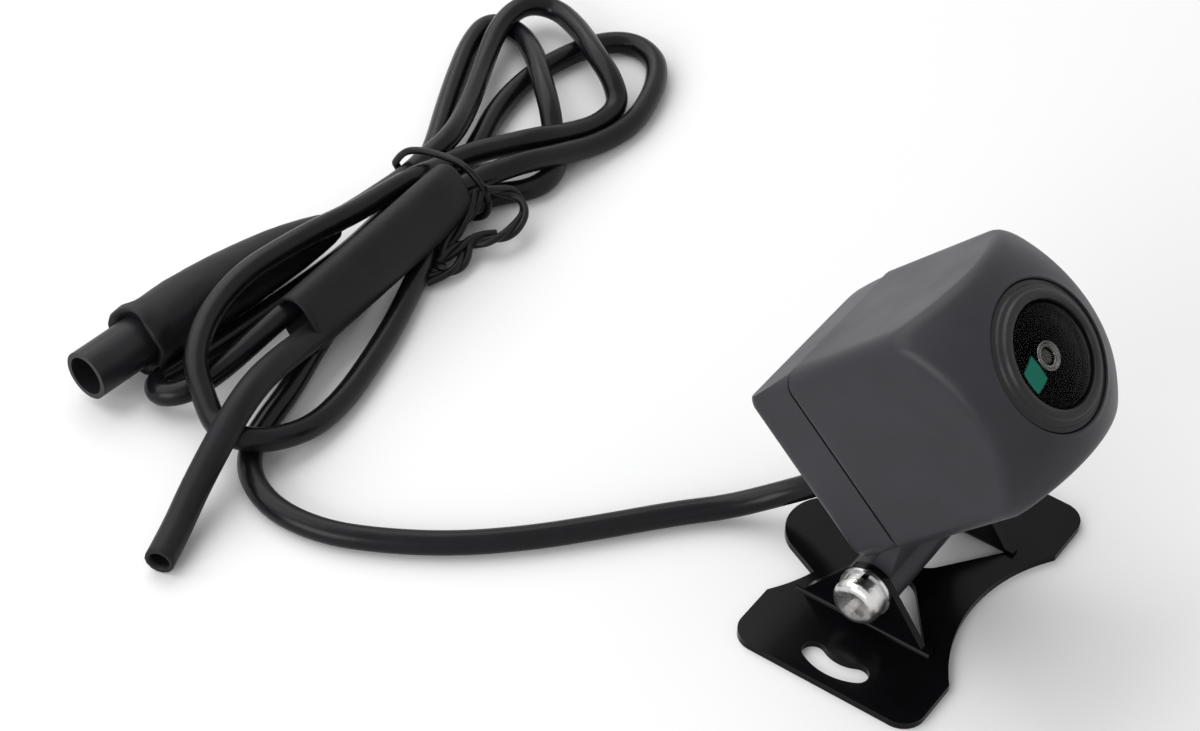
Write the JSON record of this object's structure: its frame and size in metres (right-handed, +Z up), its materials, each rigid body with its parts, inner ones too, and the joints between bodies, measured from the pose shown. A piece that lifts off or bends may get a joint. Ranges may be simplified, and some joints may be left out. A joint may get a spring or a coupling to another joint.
{
  "type": "vehicle backup camera",
  "caption": "Square black vehicle backup camera on a tilting flush-mount steel bracket, with its lead tied in a small hank.",
  "frame": {"origin": "on the bracket's underside, straight below the tilt axis", "axes": "+Z up from the mounting surface, the lens looks towards -Y, the tilt axis runs along X"},
  "size_m": [0.1231, 0.1257, 0.0513],
  "materials": {
    "bracket_paint": "gloss black paint on pressed steel",
    "screw_steel": "bright nickel plate, light turning marks",
    "spring_steel": "zinc plated spring steel",
    "brass": "turned brass",
    "housing_front": "satin grey-black painted plastic",
    "housing_rear": "satin grey-black moulded plastic",
    "seal_rubber": "matt black silicone",
    "small_screws": "small zinc plated screws",
    "circuit_board": "green solder mask",
    "spacer_nylon": "white nylon",
    "moulded_black": "black moulded plastic",
    "gold_contacts": "gold plated contacts",
    "chip_epoxy": "black epoxy",
    "sensor_glass": "glass topped sensor package",
    "socket_white": "off-white nylon",
    "lead_insulation": "PVC insulation",
    "filter_glass": "infrared cut filter",
    "lens_black": "black anodised aluminium, semi-gloss",
    "lens_glass": "dark coated glass, polished",
    "inner_glass": "polished glass",
    "trim_ring": "satin black moulded ring",
    "gland_rubber": "matt black rubber",
    "cable_jacket": "semi-gloss black PVC jacket",
    "heat_shrink": "matt black heat-shrink tubing",
    "tie_plastic": "black PVC tie over steel wire",
    "connector_plastic": "black moulded shell"
  },
  "bodies": {
    "bracket": {"bracket": "bracket_paint", "cable_flex": "cable_jacket", "main_cable": "cable_jacket", "trigger_lead": "heat_shrink", "lower_hank": "cable_jacket", "upper_hank": "cable_jacket", "strand_bundle": "cable_jacket", "twist_tie": "tie_plastic", "splice_sleeve": "heat_shrink", "plug_lead": "cable_jacket", "plug_tail": "cable_jacket", "connector_sleeve": "heat_shrink", "connector_shell": "connector_plastic", "connector_insert": "moulded_black", "connector_pins": "gold_contacts"},
    "head": {"aperture_ring": "lens_black", "board_header": "moulded_black", "board_spacers": "spacer_nylon", "cable_end": "cable_jacket", "cable_gland": "gland_rubber", "case_gasket": "seal_rubber", "case_screws": "small_screws", "flat_washers": "screw_steel", "front_housing": "housing_front", "front_lens": "lens_glass", "header_pins": "gold_contacts", "holder_screws": "small_screws", "image_sensor": "sensor_glass", "infrared_filter": "filter_glass", "inner_leads": "lead_insulation", "lens_barrel": "lens_black", "lens_holder": "moulded_black", "lens_retainer": "lens_black", "lens_seal": "seal_rubber", "lens_spacers": "lens_black", "lens_trim_ring": "trim_ring", "pivot_screws": "screw_steel", "power_board": "circuit_board", "power_parts": "chip_epoxy", "rear_cover": "housing_rear", "rear_lens": "inner_glass", "second_lens": "inner_glass", "sensor_board": "circuit_board", "spring_washers": "spring_steel", "thread_inserts": "brass", "wire_plug": "socket_white", "wire_socket": "socket_white"}
  },
  "joints": [
    {"name": "head_tilt", "type": "hinge", "parent": "bracket", "child": "head", "pos_m": [0, 0, 0.0066], "axis": [-1, 0, 0], "range_deg": [-58, 30], "deforming": ["cable_flex"]}
  ]
}
